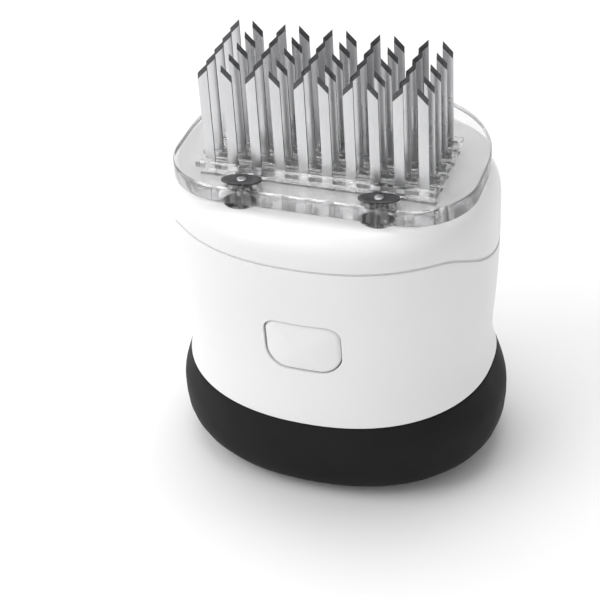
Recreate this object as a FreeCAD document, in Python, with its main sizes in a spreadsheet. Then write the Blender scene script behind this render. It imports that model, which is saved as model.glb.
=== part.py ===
"""Blade meat tenderizer, standing on its grip with the blades up.

Millimetres, +Z up along the blades, -Y towards the button, origin in the middle of the foot.
The blade grid and the guard's posts are laid out about their own centre, a little ahead of it.
The guard plate is drawn held down, so the blades stand clear of it.
"""
import FreeCAD, Part

import math
import os

import Sketcher
from FreeCAD import Placement, Rotation, Vector

doc = FreeCAD.newDocument("meat_tenderizer")
sheet = doc.addObject("Spreadsheet::Sheet", "Sizes")

# Driving dimensions: alias, millimetres (or a count or an exponent), what it is
SIZES = [
    ("deck_top", 101.2, "white deck above the foot"),
    ("deck_half_width", 47.6, "flat of the deck, across"),
    ("deck_half_depth", 31.0, "flat of the deck, front to back"),
    ("chest_height", 92.0, "widest level under the shoulder"),
    ("chest_half_width", 51.0, ""),
    ("chest_half_depth", 41.3, ""),
    ("belly_height", 72.0, "level of the hand's upper hold"),
    ("belly_half_width", 50.7, ""),
    ("belly_half_depth", 40.1, ""),
    ("waist_height", 50.0, "narrowest level"),
    ("waist_half_width", 49.2, ""),
    ("waist_half_depth", 39.0, ""),
    ("collar_height", 37.0, "where the grip starts to swell"),
    ("collar_half_width", 49.2, ""),
    ("collar_half_depth", 39.9, ""),
    ("swell_height", 20.0, "widest level of the grip"),
    ("swell_half_width", 53.7, ""),
    ("swell_half_depth", 40.4, ""),
    ("oval_power", 2.25, "exponent of the oval cross-section"),
    ("grid_ahead", 3.5, "blade grid's centre ahead of the foot's"),
    ("dome_power_across", 3.6, "roundness of the grip's underside, across"),
    ("dome_power_deep", 5.0, "roundness of the grip's underside, front to back"),
    ("dome_cut", 0.96, "share of the dome kept above the flat foot"),
    ("wall", 2.8, "white shell wall"),
    ("housing_wall", 4.2, "upper housing wall and deck, lip included"),
    ("grip_thickness", 3.0, "soft grip over the shell"),
    ("grip_edge_front", 30.0, "grip edge above the foot, front and back middle"),
    ("grip_edge_radius", 400.0, "arc of the grip edge seen from the front"),
    ("parting_front", 90.0, "parting line above the foot, at the front"),
    ("parting_side", 75.9, "lowest point of the parting line at the side"),
    ("parting_side_radius", 62.0, "arc of the parting line seen from the side"),
    ("parting_side_centre", 15.1, "that lowest point behind the foot's centre"),
    ("parting_gap", 0.3, "shadow line between the housings"),
    ("lip_depth", 4.0, "lip of the upper housing inside the shell"),
    ("lip_clearance", 0.15, ""),
    ("row_count", 5, ""),
    ("blades_per_row", 10, ""),
    ("blade_pitch", 7.4, ""),
    ("row_pitch", 7.0, ""),
    ("blade_width", 3.1, ""),
    ("blade_thickness", 0.6, ""),
    ("blade_reach", 33.1, "blade above the guard's bars"),
    ("tip_drop", 3.3, "slant of the blade end"),
    ("grind_height", 1.9, "ground bevel, measured along the blade"),
    ("edge_land", 0.08, "thickness left at the cutting edge"),
    ("tail_hole", 0.8, "radius of the hole in the blade tail"),
    ("tail_hole_height", 4.0, "that hole above the blade's end"),
    ("blade_rod_end", 1.0, "end of a blade rod inside the carrier's face"),
    ("rod_fit", 0.05, "radial clearance on rods and pins"),
    ("plate_gap", 0.6, "guard plate above the deck"),
    ("plate_thickness", 5.6, ""),
    ("plate_half_width", 47.8, ""),
    ("plate_front", 25.6, "front edge ahead of the blade grid's centre"),
    ("plate_corner_radius", 20.3, ""),
    ("plate_back_depth", 41.5, "back edge behind the oval's centre"),
    ("plate_edge_round", 0.7, ""),
    ("bar_height", 1.5, "raised bar along each slot"),
    ("bar_width", 4.4, ""),
    ("bar_overhang", 2.8, "bar past the last blade"),
    ("slot_width", 1.5, "slot for a row of blades"),
    ("slot_overhang", 1.6, "slot past the last blade"),
    ("deck_slot_extra", 0.4, "deck slot longer at each end than the guard's, and this much wider"),
    ("post_x", 21.3, "guard posts from the middle"),
    ("post_gap", 0.5, "bushes clear of the blade carrier"),
    ("boss_radius", 5.2, "clear boss under the plate"),
    ("boss_length", 8.2, ""),
    ("well_radius", 6.2, ""),
    ("well_depth", 9.0, ""),
    ("well_wall", 1.2, ""),
    ("well_floor", 2.2, ""),
    ("rod_radius", 2.5, "steel guide rod"),
    ("rod_grip", 5.0, "rod held inside the boss"),
    ("bush_radius", 4.0, ""),
    ("bush_length", 12.0, ""),
    ("bush_flange", 0.8, "flange thickness"),
    ("bush_flange_radius", 5.0, ""),
    ("buffer_height", 1.5, "soft stop under the bush"),
    ("guard_travel", 36.0, "the guard rises this far over the blades"),
    ("stop_gap", 0.3, "slider below its stop at the top of the travel"),
    ("slider_height", 4.0, ""),
    ("slider_half_length", 27.0, ""),
    ("slider_half_depth", 3.7, ""),
    ("nut_radius", 3.4, ""),
    ("nut_height", 2.2, ""),
    ("nut_tail", 0.8, "rod below its nut"),
    ("cap_half_length", 6.25, "dark disc over each post"),
    ("cap_half_depth", 2.85, ""),
    ("cap_height", 0.5, ""),
    ("cap_screw_radius", 0.9, ""),
    ("cap_screw_head", 1.45, "head radius"),
    ("cap_screw_head_height", 0.35, ""),
    ("spring_seat", 14.0, "top of the spring pillars"),
    ("spring_outer", 4.9, ""),
    ("spring_wire", 0.9, ""),
    ("spring_pin_radius", 3.0, ""),
    ("spring_pin_top", 32.0, ""),
    ("spring_pin_seat", 0.6, "lower end of the pins above the middle of the floor"),
    ("pillar_radius", 6.0, ""),
    ("carrier_top", 86.0, ""),
    ("carrier_height", 11.0, ""),
    ("carrier_margin", 4.0, "carrier past the columns' centres, across"),
    ("carrier_rim", 1.9, "carrier past the outer rows of blades"),
    ("carrier_clearance", 0.3, "carrier inside the housing wall"),
    ("pocket_fit", 0.05, "blade in its pocket"),
    ("backing_thickness", 1.5, "steel plate under the blade tails"),
    ("column_x", 39.0, "columns that carry the blades' thrust"),
    ("column_y", 7.0, "columns from the blade grid's centre"),
    ("column_radius", 4.5, ""),
    ("screw_radius", 1.5, "housing screw shank"),
    ("screw_head", 2.8, ""),
    ("screw_head_height", 1.8, ""),
    ("screw_ledge", 60.0, "underside of the ledge that holds the screw head"),
    ("screw_bite", 8.0, "screw inside the upper housing's boss"),
    ("screw_clearance", 0.2, ""),
    ("boss_wall", 2.1, "wall of the upper housing's screw bosses"),
    ("button_height", 59.4, "button centre above the foot"),
    ("button_half_width", 12.0, ""),
    ("button_half_height", 8.9, ""),
    ("button_top_corner", 4.0, ""),
    ("button_bottom_corner", 7.0, ""),
    ("button_gap", 0.35, ""),
    ("button_proud", 0.7, ""),
    ("button_back_gap", 2.8, "flat back of the cap behind the inner wall at the waist"),
    ("button_flange", 1.6, "flange past the opening"),
    ("button_flange_thickness", 1.5, ""),
    ("button_travel", 3.0, ""),
    ("latch_half_width", 6.0, ""),
    ("latch_thickness", 1.6, ""),
    ("latch_low", 34.0, "underside of the latch arm"),
    ("latch_back_gap", 1.6, "latch's rear leg behind the slider"),
    ("latch_nose", 1.5, "height of the nose"),
    ("latch_nose_gap", 0.3, "nose clear of the slider it hooks over"),
    ("latch_screw_radius", 1.2, ""),
    ("latch_screw_head", 2.4, ""),
    ("latch_screw_head_height", 1.1, ""),
    ("latch_screw_bite", 2.6, "screw inside the button cap"),
    ("button_spring_height", 27.5, ""),
    ("button_spring_radius", 3.0, ""),
    ("button_spring_wire", 0.6, ""),
    ("lug_gap", 0.9, "spring lug behind the cap's back"),
    ("lug_thickness", 2.0, ""),
    ("spring_wall_gap", 9.0, "wall behind the button spring, from the lug's front"),
    ("spring_wall_thickness", 2.0, ""),
]

for line, (alias, number, note) in enumerate(SIZES, start=1):
    sheet.set("A%d" % line, alias)
    sheet.set("B%d" % line, str(number))
    sheet.setAlias("B%d" % line, alias)
    sheet.set("C%d" % line, note)
doc.recompute()


class Size:
    """A length that knows its value and the sheet expression it comes from."""

    def __init__(self, value, text):
        self.value = float(value)
        self.text = text

    def joined(self, other, sign, value):
        text = other.text if isinstance(other, Size) else repr(float(other))
        return Size(value, "(%s %s %s)" % (self.text, sign, text))

    def __add__(self, other):
        return self.joined(other, "+", self.value + float(other))

    def __radd__(self, other):
        return self + other

    def __sub__(self, other):
        return self.joined(other, "-", self.value - float(other))

    def __rsub__(self, other):
        return -self + other

    def __mul__(self, other):
        return self.joined(other, "*", self.value * float(other))

    def __rmul__(self, other):
        return self * other

    def __truediv__(self, other):
        return self.joined(other, "/", self.value / float(other))

    def __neg__(self):
        return Size(-self.value, "(0 - %s)" % self.text)

    def __float__(self):
        return self.value


def cell(alias):
    """The named cell of the sheet."""
    return Size(getattr(sheet, alias), "Sizes." + alias)


def size(alias):
    """The same cell as a plain number."""
    return float(getattr(sheet, alias))


def bind(obj, prop, value):
    """Set a property, tied to the sheet when the value comes from it."""
    if isinstance(value, Size):
        obj.setExpression(prop, value.text)
    else:
        setattr(obj, prop, value)


def place(obj, x, y, z, rotation=None):
    """Put an object's origin at a point whose coordinates may come from the sheet."""
    obj.Placement = Placement(Vector(float(x), float(y), float(z)), rotation or Rotation())
    for axis, value in zip("xyz", (x, y, z)):
        if isinstance(value, Size):
            obj.setExpression("Placement.Base." + axis, value.text)
    return obj


ALONG_Y = Rotation(Vector(1, 0, 0), -90)


def cylinder(name, radius, height, x, y, z, rotation=None):
    obj = doc.addObject("Part::Cylinder", name)
    bind(obj, "Radius", radius)
    bind(obj, "Height", height)
    return place(obj, x, y, z, rotation)


def box(name, low, high):
    """A box between two corners."""
    obj = doc.addObject("Part::Box", name)
    for prop, start, end in zip(("Length", "Width", "Height"), low, high):
        bind(obj, prop, end - start)
    return place(obj, *low)


def fuse(name, *parts):
    obj = doc.addObject("Part::MultiFuse", name)
    obj.Shapes = list(parts)
    return obj


def cut(name, base, *tools):
    obj = doc.addObject("Part::Cut", name)
    obj.Base = base
    obj.Tool = tools[0] if len(tools) == 1 else fuse(name + "_tools", *tools)
    return obj


def group(name, parts):
    """Several identical loose pieces under one name."""
    obj = doc.addObject("Part::Compound", name)
    obj.Links = list(parts)
    return obj


def solid(name, shape):
    """A shape made from the sheet's sizes by the functions below."""
    obj = doc.addObject("Part::Feature", name)
    obj.Shape = shape
    return obj


nodes = []


def node(obj, label):
    """Name a finished sub-part, which is written to a file of that name."""
    obj.Label = label
    nodes.append(obj)
    return obj


def new_body(name):
    return doc.addObject("PartDesign::Body", name)


def origin_plane(body, role):
    for feature in body.Origin.OriginFeatures:
        if feature.Role == role:
            return feature
    raise ValueError(role)


def new_sketch(body, name, role, height=0.0):
    sketch = body.newObject("Sketcher::SketchObject", name)
    sketch.AttachmentSupport = [(origin_plane(body, role), "")]
    sketch.MapMode = "FlatFace"
    if isinstance(height, Size):
        sketch.setExpression("AttachmentOffset.Base.z", height.text)
    return sketch


def constrain(sketch, kind, value, *where):
    """Add a dimension tied to the sheet."""
    index = sketch.addConstraint(Sketcher.Constraint(kind, *where, float(value)))
    sketch.setExpression("Constraints[%d]" % index, value.text)


def draw_rectangle(sketch, half_width, half_depth):
    """A rectangle centred on the sketch's origin."""
    w, d = float(half_width), float(half_depth)
    corners = [Vector(-w, -d, 0), Vector(w, -d, 0), Vector(w, d, 0), Vector(-w, d, 0)]
    first = sketch.GeometryCount
    for i in range(4):
        sketch.addGeometry(Part.LineSegment(corners[i], corners[(i + 1) % 4]))
    for i in range(4):
        sketch.addConstraint(Sketcher.Constraint("Coincident", first + i, 2, first + (i + 1) % 4, 1))
    for i in (0, 2):
        sketch.addConstraint(Sketcher.Constraint("Horizontal", first + i))
        sketch.addConstraint(Sketcher.Constraint("Vertical", first + i + 1))
    sketch.addConstraint(Sketcher.Constraint("Symmetric", first, 1, first + 2, 1, -1, 1))
    constrain(sketch, "Distance", half_width * 2, first)
    constrain(sketch, "Distance", half_depth * 2, first + 1)


def draw_circle(sketch, radius, x, y, side_x=1, side_y=1):
    """A circle whose centre lies in the quarter of the sketch given by the two signs."""
    centre = Vector(side_x * float(x), side_y * float(y), 0)
    index = sketch.addGeometry(Part.Circle(centre, Vector(0, 0, 1), float(radius)))
    constrain(sketch, "Radius", radius, index)
    for kind, value, side in (("DistanceX", x, side_x), ("DistanceY", y, side_y)):
        if not isinstance(value, Size):
            axis = -2 if kind == "DistanceX" else -1
            sketch.addConstraint(Sketcher.Constraint("PointOnObject", index, 3, axis))
        elif side > 0:
            constrain(sketch, kind, value, -1, 1, index, 3)
        else:
            constrain(sketch, kind, value, index, 3, -1, 1)


def pad(body, name, sketch, length):
    feature = body.newObject("PartDesign::Pad", name)
    feature.Profile = sketch
    bind(feature, "Length", length)
    body.Tip = feature
    return feature


def pocket(body, name, sketch):
    """Cut the sketch through the whole pad, which stands on the sketch's plane."""
    feature = body.newObject("PartDesign::Pocket", name)
    feature.Profile = sketch
    feature.Type = "ThroughAll"
    feature.Reversed = True
    body.Tip = feature
    return feature


# Cutting tools run this far past the face they open, and joined blanks this far into each other
OVERRUN = 1.0
# Lengths under this count as nothing
TINY = 0.001

SIDES = (-1, 1)
CORNERS = [(sx, sy) for sy in SIDES for sx in SIDES]

# Levels and lengths worked out from the driving dimensions
deck_top = cell("deck_top")
plate_bottom = deck_top + cell("plate_gap")
plate_top = plate_bottom + cell("plate_thickness")
bar_top = plate_top + cell("bar_height")
blade_tip = bar_top + cell("blade_reach")
well_bottom = deck_top - cell("well_depth")
cup_bottom = well_bottom - cell("well_floor")
bush_bottom = well_bottom - cell("bush_length")
buffer_bottom = bush_bottom - cell("buffer_height")
slider_top = buffer_bottom - cell("stop_gap") - cell("guard_travel")
slider_bottom = slider_top - cell("slider_height")
boss_bottom = plate_bottom - cell("boss_length")
rod_bottom = slider_bottom - cell("nut_height") - cell("nut_tail")
rod_top = boss_bottom + cell("rod_grip")
carrier_bottom = cell("carrier_top") - cell("carrier_height")
backing_bottom = carrier_bottom - cell("backing_thickness")
blade_length = blade_tip - carrier_bottom
tail_hole_level = carrier_bottom + cell("tail_hole_height")
fit = cell("rod_fit")
grid_y = -cell("grid_ahead")
screw_top = cell("carrier_top") + cell("screw_bite")
row_count = int(size("row_count"))
blades_per_row = int(size("blades_per_row"))
carrier_half_width = cell("column_x") + cell("carrier_margin")
carrier_half_depth = cell("row_pitch") * (row_count - 1) / 2 + cell("carrier_rim")
post_y = carrier_half_depth + cell("bush_radius") + cell("post_gap")
posts = [(side_x * cell("post_x"), grid_y + side_y * post_y) for side_x, side_y in CORNERS]
columns = [(side_x * cell("column_x"), grid_y + side_y * cell("column_y")) for side_x, side_y in CORNERS]
front_post_y = grid_y - post_y
rear_post_y = grid_y + post_y
last_blade = cell("blade_pitch") * (blades_per_row - 1) / 2 + cell("blade_width") / 2
floor_middle = cell("grip_thickness") + cell("wall") / 2
spring_pin_bottom = floor_middle + cell("spring_pin_seat")
button_back = cell("waist_half_depth") - cell("wall") - cell("button_back_gap")
lug_front = button_back - cell("lug_gap")
spring_wall_front = lug_front - cell("spring_wall_gap")

OVAL_POINTS = 24
SHOULDER_STEPS = (90, 70, 45, 22)
DOME_STEPS = (0.35, 0.62, 0.82, 0.93, 1.01)


def row_y(row):
    """Row 0 is the front one."""
    return grid_y + cell("row_pitch") * (row - (row_count - 1) / 2)


def blade_x(index):
    return cell("blade_pitch") * (index - (blades_per_row - 1) / 2)


def oval(half_width, half_depth, height):
    """A closed superellipse around the body's axis at one height."""
    root = 2 / size("oval_power")
    points = []
    for i in range(OVAL_POINTS):
        turn = 2 * math.pi * i / OVAL_POINTS
        across, deep = math.cos(turn), math.sin(turn)
        x = half_width * math.copysign(abs(across) ** root, across)
        y = half_depth * math.copysign(abs(deep) ** root, deep)
        points.append(Vector(x, y, height))
    curve = Part.BSplineCurve()
    curve.interpolate(points, PeriodicFlag=True)
    return Part.Wire([curve.toShape()])


hulls = {}


def hull(inset, low_inset=None):
    """The body's outer form, moved in by inset, and by low_inset under the waist."""
    low = inset if low_inset is None else low_inset
    if (inset, low) not in hulls:
        hulls[inset, low] = make_hull(inset, low)
    return hulls[inset, low]


def make_hull(inset, low):
    """Loft the form from the deck down the walls and under the dome to the flat foot."""
    value = {alias: size(alias) for alias, number, note in SIZES}
    wires = []
    rise = value["deck_top"] - value["chest_height"] - inset
    for degrees in SHOULDER_STEPS:
        turn = math.radians(degrees)
        spread = math.cos(turn)
        across = value["deck_half_width"] + (value["chest_half_width"] - value["deck_half_width"]) * spread
        deep = value["deck_half_depth"] + (value["chest_half_depth"] - value["deck_half_depth"]) * spread
        height = value["chest_height"] + rise * math.sin(turn)
        wires.append(oval(across - inset, deep - inset, height))
    for level, shift in (("chest", inset), ("belly", inset), ("waist", inset), ("collar", low)):
        across, deep = value[level + "_half_width"], value[level + "_half_depth"]
        wires.append(oval(across - shift, deep - shift, value[level + "_height"]))
    across, deep = value["swell_half_width"] - low, value["swell_half_depth"] - low
    wires.append(oval(across, deep, value["swell_height"]))
    drop = value["swell_height"] - low
    for share in DOME_STEPS:
        depth = share * value["dome_cut"]
        wide = (1 - depth ** value["dome_power_across"]) ** (1 / value["dome_power_across"])
        long = (1 - depth ** value["dome_power_deep"]) ** (1 / value["dome_power_deep"])
        wires.append(oval(across * wide, deep * long, value["swell_height"] - share * drop))
    form = Part.makeLoft(wires, True, False)
    return form.common(slab_above(low))


def slab_above(height):
    """A block wider than the body, standing on one level."""
    reach = 4 * size("chest_half_width")
    return Part.makeBox(reach, reach, reach, Vector(-reach / 2, -reach / 2, height))


def cutter(radius, x, y, z, direction):
    """A long cylinder centred on a point, for the arcs of the parting line and the grip edge."""
    reach = 4 * size("chest_half_width")
    start = Vector(x, y, z) - direction * reach / 2
    return Part.makeCylinder(radius, reach, start, direction)


def above_parting(lower=0.0):
    """Everything above the parting line, or above it moved down by lower."""
    side = size("parting_side_radius")
    along = cutter(side + lower, 0, size("parting_side_centre"),
                   size("parting_side") + side, Vector(1, 0, 0))
    return slab_above(size("parting_front") - lower).fuse(along)


def above_grip():
    """Everything above the grip's curved edge."""
    radius = size("grip_edge_radius")
    return cutter(radius, 0, 0, size("grip_edge_front") + radius, Vector(0, 1, 0))


def round_bar(radius, low, high, x, y):
    """A plain upright cylinder between two heights."""
    return Part.makeCylinder(float(radius), float(high) - float(low), Vector(float(x), float(y), float(low)))


def button_outline(grow, front, back):
    """The button's rounded outline, grown all round, as a prism along Y."""
    half_width = size("button_half_width") + grow
    half_height = size("button_half_height") + grow
    middle = size("button_height")
    edges = []
    spots = ((1, -1, "bottom", -90), (1, 1, "top", 0), (-1, 1, "top", 90), (-1, -1, "bottom", 180))
    for side_x, side_z, name, start in spots:
        radius = float(cell("button_%s_corner" % name)) + grow
        centre = Vector(side_x * (half_width - radius), front, middle + side_z * (half_height - radius))
        arc = []
        for degrees in (start, start + 45, start + 90):
            turn = math.radians(degrees)
            arc.append(centre + Vector(math.cos(turn), 0, math.sin(turn)) * radius)
        edges.append(arc)
    wire = []
    for i, arc in enumerate(edges):
        wire.append(Part.Arc(*arc).toShape())
        following = edges[(i + 1) % 4][0]
        wire.append(Part.LineSegment(arc[2], following).toShape())
    face = Part.Face(Part.Wire(Part.__sortEdges__(wire)))
    return face.extrude(Vector(0, back - front, 0))


def slot_box(name, row, low, high, extra=0.0):
    """A slot along one row of blades."""
    half_length = last_blade + cell("slot_overhang") + extra
    half_width = cell("slot_width") / 2 + extra / 2
    middle = row_y(row)
    return box(name, (-half_length, middle - half_width, low), (half_length, middle + half_width, high))


def make_grip():
    """Soft black cover over the lower end of the shell."""
    seat = hull(size("grip_thickness"))
    return solid("GripForm", hull(0.0).cut(seat).cut(above_grip()))


def make_handle_shell():
    """White tub with the columns and pillars that stand on its floor."""
    outer = hull(0.0)
    seat = hull(size("grip_thickness"))
    wall = size("wall")
    body = outer.common(above_grip()).fuse(seat)
    body = body.cut(above_parting(size("parting_gap")))
    shell = body.cut(hull(wall, wall + size("grip_thickness")))
    stands = [round_bar(cell("column_radius"), floor_middle, backing_bottom, x, y) for x, y in columns]
    stands += [round_bar(cell("pillar_radius"), floor_middle, cell("spring_seat"), x, y) for x, y in posts]
    half_width = size("latch_half_width")
    wall_top = size("latch_low") - size("latch_thickness")
    stands.append(Part.makeBox(2 * half_width, size("spring_wall_thickness"), wall_top - float(floor_middle),
                               Vector(-half_width, -float(spring_wall_front), float(floor_middle))))
    shell = shell.fuse(Part.makeCompound(stands).common(seat)).removeSplitter()
    holes = []
    shank_room = cell("screw_radius") + cell("screw_clearance")
    head_room = cell("screw_head") + cell("screw_clearance")
    for x, y in columns:
        holes.append(round_bar(shank_room, cell("screw_ledge") - OVERRUN, backing_bottom + OVERRUN, x, y))
        holes.append(round_bar(head_room, -OVERRUN, cell("screw_ledge"), x, y))
    for x, y in posts:
        holes.append(round_bar(cell("spring_pin_radius"), spring_pin_bottom, cell("spring_seat") + OVERRUN,
                               x, y))
    reach = size("chest_half_depth")
    holes.append(button_outline(size("button_gap"), -2 * reach, -reach / 2))
    return solid("HandleShellForm", shell.cut(holes))


def make_upper_housing():
    """White shoulder and deck with the four wells for the guard posts."""
    wall = size("housing_wall")
    lip_face = size("wall") + size("lip_clearance")
    lip = hull(lip_face).common(above_parting(size("lip_depth")))
    body = hull(0.0).common(above_parting()).fuse(lip).cut(hull(wall))
    adds = [round_bar(cell("well_radius") + cell("well_wall"), cup_bottom, deck_top - OVERRUN, x, y)
            for x, y in posts]
    screw_boss = cell("screw_radius") + cell("boss_wall")
    adds += [round_bar(screw_boss, cell("carrier_top"), deck_top - OVERRUN, x, y) for x, y in columns]
    body = body.fuse(adds)
    tools = [round_bar(cell("well_radius"), well_bottom, deck_top + OVERRUN, x, y) for x, y in posts]
    tools += [round_bar(cell("bush_radius") + fit, cup_bottom - OVERRUN, well_bottom + OVERRUN, x, y)
              for x, y in posts]
    tools += [round_bar(cell("screw_radius"), cell("carrier_top") - OVERRUN, screw_top, x, y)
              for x, y in columns]
    form = solid("UpperHousingForm", body.cut(tools))
    extra = cell("deck_slot_extra")
    slots = [slot_box("DeckSlot%d" % row, row, cup_bottom - OVERRUN, deck_top + OVERRUN, extra)
             for row in range(row_count)]
    return cut("UpperHousing", form, *slots)


def plate_face():
    """Outline of the clear plate: flat front, round corners, oval back."""
    half_width = size("plate_half_width")
    front = float(grid_y - cell("plate_front"))
    radius = size("plate_corner_radius")
    depth = size("plate_back_depth")
    root = 2 / size("oval_power")
    back = []
    steps = OVAL_POINTS // 2
    for i in range(steps + 1):
        turn = math.pi * i / steps
        across, deep = math.cos(turn), abs(math.sin(turn))
        back.append(Vector(half_width * math.copysign(abs(across) ** root, across), depth * deep ** root, 0))
    curve = Part.BSplineCurve()
    curve.interpolate(back)
    edges = [curve.toShape()]
    for side in SIDES:
        centre = Vector(side * (half_width - radius), front + radius, 0)
        outer = centre + Vector(side * radius, 0, 0)
        mid = centre + Vector(side * radius, -radius, 0) * math.sqrt(0.5)
        edges.append(Part.LineSegment(Vector(side * half_width, 0, 0), outer).toShape())
        edges.append(Part.Arc(outer, mid, centre - Vector(0, radius, 0)).toShape())
    flat = half_width - radius
    edges.append(Part.LineSegment(Vector(-flat, front, 0), Vector(flat, front, 0)).toShape())
    return Part.Face(Part.Wire(Part.__sortEdges__(edges)))


def make_guard_plate():
    """Clear plate with a slotted bar for each row and four bosses underneath."""
    slab = plate_face().extrude(Vector(0, 0, size("plate_thickness")))
    slab = slab.makeFillet(size("plate_edge_round"), [e for e in slab.Edges if is_level(e)])
    slab.translate(Vector(0, 0, float(plate_bottom)))
    form = solid("PlateForm", slab)
    adds = [form]
    half_length = last_blade + cell("bar_overhang")
    half_width = cell("bar_width") / 2
    for row in range(row_count):
        low = (-half_length, row_y(row) - half_width, plate_top - OVERRUN)
        high = (half_length, row_y(row) + half_width, bar_top)
        adds.append(box("Bar%d" % row, low, high))
    for x, y in posts:
        adds.append(cylinder("Boss", cell("boss_radius"), plate_bottom - boss_bottom + OVERRUN, x, y,
                             boss_bottom))
    tools = [slot_box("PlateSlot%d" % row, row, plate_bottom - OVERRUN, bar_top + OVERRUN)
             for row in range(row_count)]
    for x, y in posts:
        tools.append(cylinder("RodHole", cell("rod_radius") + fit, rod_top - boss_bottom + OVERRUN, x, y,
                              boss_bottom - OVERRUN))
        tools.append(cylinder("CapScrewHole", cell("cap_screw_radius") + fit,
                              plate_top - rod_top + 2 * OVERRUN, x, y, rod_top - OVERRUN))
    return cut("GuardPlate", fuse("PlateBody", *adds), *tools)


def is_level(edge):
    """True for an edge that lies at one height."""
    return edge.BoundBox.ZLength < TINY


def make_blade():
    """One blade, high point at its right edge, ground on the front face."""
    body = new_body("BladeForm")
    sketch = new_sketch(body, "BladeOutline", "XZ_Plane")
    half, tall, drop = size("blade_width") / 2, float(blade_length), size("tip_drop")
    corners = [Vector(-half, 0, 0), Vector(half, 0, 0), Vector(half, tall, 0), Vector(-half, tall - drop, 0)]
    for i in range(4):
        sketch.addGeometry(Part.LineSegment(corners[i], corners[(i + 1) % 4]))
    for i in range(4):
        sketch.addConstraint(Sketcher.Constraint("Coincident", i, 2, (i + 1) % 4, 1))
    sketch.addConstraint(Sketcher.Constraint("Horizontal", 0))
    sketch.addConstraint(Sketcher.Constraint("Vertical", 1))
    sketch.addConstraint(Sketcher.Constraint("Vertical", 3))
    sketch.addConstraint(Sketcher.Constraint("Symmetric", 0, 1, 0, 2, -1, 1))
    constrain(sketch, "Distance", cell("blade_width"), 0)
    constrain(sketch, "Distance", blade_length, 1)
    constrain(sketch, "Distance", blade_length - cell("tip_drop"), 3)
    draw_circle(sketch, cell("tail_hole"), 0, cell("tail_hole_height"))
    feature = pad(body, "BladePad", sketch, cell("blade_thickness"))
    feature.Midplane = True
    doc.recompute()
    slant = [i for i, edge in enumerate(feature.Shape.Edges, start=1) if is_front_slant(edge)]
    bevel = body.newObject("PartDesign::Chamfer", "BladeGrind")
    bevel.Base = (feature, ["Edge%d" % i for i in slant])
    bevel.ChamferType = "Two distances"
    angle = math.atan2(drop, 2 * half)
    bind(bevel, "Size", cell("blade_thickness") - cell("edge_land"))
    bind(bevel, "Size2", cell("grind_height") * math.cos(angle))
    body.Tip = bevel
    doc.recompute()
    return body


def is_front_slant(edge):
    """True for the sloping edge on the blade's front face."""
    bounds = edge.BoundBox
    sloping = bounds.XLength > TINY and bounds.ZLength > TINY
    return bounds.YMax < 0 and sloping and len(edge.Vertexes) == 2


def make_blade_row(row, blade):
    """A row of blades whose high points meet in pairs."""
    pieces = []
    for index in range(blades_per_row):
        piece = blade.Shape.copy()
        if index % 2:
            piece = piece.mirror(Vector(0, 0, 0), Vector(1, 0, 0))
        piece.translate(Vector(float(blade_x(index)), float(row_y(row)), float(carrier_bottom)))
        pieces.append(piece)
    return solid("BladeRow%d" % (row + 1), Part.makeCompound(pieces))


def make_blade_rods():
    """Rods front to back, each through the tails of one blade from every row."""
    length = (carrier_half_depth - cell("blade_rod_end")) * 2
    front = grid_y - length / 2
    pieces = [cylinder("BladeRod%d" % index, cell("tail_hole") - fit, length, blade_x(index), front,
                       tail_hole_level, ALONG_Y) for index in range(blades_per_row)]
    return group("BladeRods", pieces)


def inside_housing(name, blank):
    """The part of a blank that clears the housing wall."""
    room = solid(name + "Room", hull(float(cell("housing_wall") + cell("carrier_clearance"))))
    trimmed = doc.addObject("Part::MultiCommon", name)
    trimmed.Shapes = [blank, room]
    return trimmed


def make_carrier():
    """Block with a pocket for each blade and a bore across the rows for each rod."""
    block = box("CarrierBlock", (-carrier_half_width, grid_y - carrier_half_depth, carrier_bottom),
                (carrier_half_width, grid_y + carrier_half_depth, cell("carrier_top")))
    pockets = []
    wide = float(cell("blade_width") + cell("pocket_fit") * 2)
    deep = float(cell("blade_thickness") + cell("pocket_fit") * 2)
    for row in range(row_count):
        for index in range(blades_per_row):
            corner = Vector(float(blade_x(index)) - wide / 2, float(row_y(row)) - deep / 2,
                            float(carrier_bottom) - OVERRUN)
            pockets.append(Part.makeBox(wide, deep, size("carrier_height") + 2 * OVERRUN, corner))
    tools = [solid("BladePockets", Part.makeCompound(pockets))]
    reach = carrier_half_depth + OVERRUN
    for index in range(blades_per_row):
        tools.append(cylinder("RodBore%d" % index, cell("tail_hole"), reach * 2, blade_x(index),
                              grid_y - reach, tail_hole_level, ALONG_Y))
    for x, y in columns:
        tools.append(cylinder("CarrierHole", cell("screw_radius") + cell("screw_clearance"),
                              cell("carrier_height") + 2 * OVERRUN, x, y, carrier_bottom - OVERRUN))
    return inside_housing("Carrier", cut("CarrierForm", block, *tools))


def make_backing_plate():
    """Steel plate that takes the thrust of the blades' tails."""
    body = new_body("BackingForm")
    outline = new_sketch(body, "BackingOutline", "XY_Plane")
    draw_rectangle(outline, carrier_half_width, carrier_half_depth)
    pad(body, "BackingPad", outline, cell("backing_thickness"))
    holes = new_sketch(body, "BackingHoles", "XY_Plane")
    for side_x, side_y in CORNERS:
        draw_circle(holes, cell("screw_radius") + cell("screw_clearance"), cell("column_x"), cell("column_y"),
                    side_x, side_y)
    pocket(body, "BackingPocket", holes)
    return inside_housing("BackingPlate", place(body, 0, grid_y, backing_bottom))


def make_housing_screws():
    """Long screws from under the grip, through the carrier into the upper housing."""
    screws = []
    ledge = cell("screw_ledge")
    for i, (x, y) in enumerate(columns):
        shank = cylinder("ScrewShank%d" % i, cell("screw_radius"), screw_top - ledge + OVERRUN, x, y,
                         ledge - OVERRUN)
        head = cylinder("ScrewHead%d" % i, cell("screw_head"), cell("screw_head_height"), x, y,
                        ledge - cell("screw_head_height"))
        screws.append(fuse("HousingScrew%d" % i, shank, head))
    return group("HousingScrews", screws)


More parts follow.
